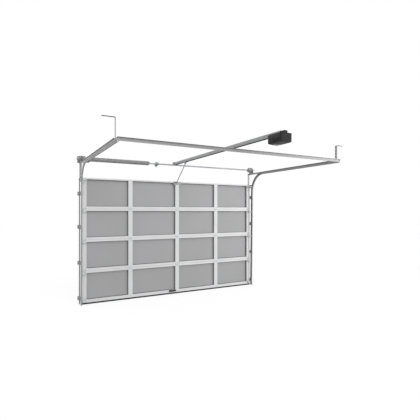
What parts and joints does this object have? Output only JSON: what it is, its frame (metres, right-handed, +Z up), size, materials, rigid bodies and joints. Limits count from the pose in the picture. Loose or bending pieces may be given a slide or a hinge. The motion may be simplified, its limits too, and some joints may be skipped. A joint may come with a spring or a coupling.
{
  "type": "sectional garage door",
  "caption": "Overhead door of framed sections with grey infill panels, closed, with rollers, tracks, torsion spring, cables and a ceiling opener with its arm.",
  "frame": {"origin": "middle of the back face of the opener's header bracket, on the wall over the opening", "axes": "+X to the right seen from inside the garage, +Y into the wall towards the street, +Z up"},
  "size_m": [3.852, 3.25, 2.6601],
  "materials": {
    "frame_aluminium": "pale grey powder coat, satin",
    "panel_grey": "mid grey, semi-matt",
    "seal_rubber": "matt",
    "black_plastic": "matt",
    "galvanised_steel": "galvanised",
    "zinc_plated": "bright zinc plate",
    "roller_nylon": "moulded",
    "bright_shaft": "drawn tube",
    "cast_aluminium": "as cast",
    "spring_steel": "oiled wire",
    "rail_steel": "satin grey",
    "housing_charcoal": "fine texture",
    "lens_white": "frosted"
  },
  "bodies": {
    "root": {"section_1_rails": "frame_aluminium", "section_1_stiles": "frame_aluminium", "section_1_panels": "panel_grey", "section_2_rails": "frame_aluminium", "section_2_stiles": "frame_aluminium", "section_2_panels": "panel_grey", "section_3_rails": "frame_aluminium", "section_3_stiles": "frame_aluminium", "section_3_panels": "panel_grey", "section_4_rails": "frame_aluminium", "section_4_stiles": "frame_aluminium", "section_4_panels": "panel_grey", "seal_retainer": "frame_aluminium", "bottom_seal": "seal_rubber", "lift_handle": "black_plastic", "centre_hinges": "zinc_plated", "end_hinges": "zinc_plated", "bottom_brackets": "zinc_plated", "top_brackets": "zinc_plated", "vertical_tracks": "galvanised_steel", "curved_tracks": "galvanised_steel", "horizontal_tracks": "galvanised_steel", "wall_angles": "galvanised_steel", "track_brackets": "galvanised_steel", "flag_brackets": "galvanised_steel", "horizontal_angles": "galvanised_steel", "rear_hangers": "galvanised_steel", "rear_cross_bar": "galvanised_steel", "end_bearing_plates": "galvanised_steel", "spring_anchor_bracket": "galvanised_steel", "centre_bearing_bracket": "galvanised_steel", "header_bracket": "galvanised_steel", "opener_arm": "galvanised_steel", "door_arm_bracket": "galvanised_steel", "lift_cables": "galvanised_steel", "rollers": "roller_nylon", "torsion_shaft": "bright_shaft", "cable_drums": "cast_aluminium", "stationary_cone": "cast_aluminium", "winding_cone": "cast_aluminium", "torsion_spring": "spring_steel", "opener_rail": "rail_steel", "trolley": "rail_steel", "motor_housing": "housing_charcoal", "drive_cover": "housing_charcoal", "light_lens": "lens_white"}
  },
  "joints": []
}
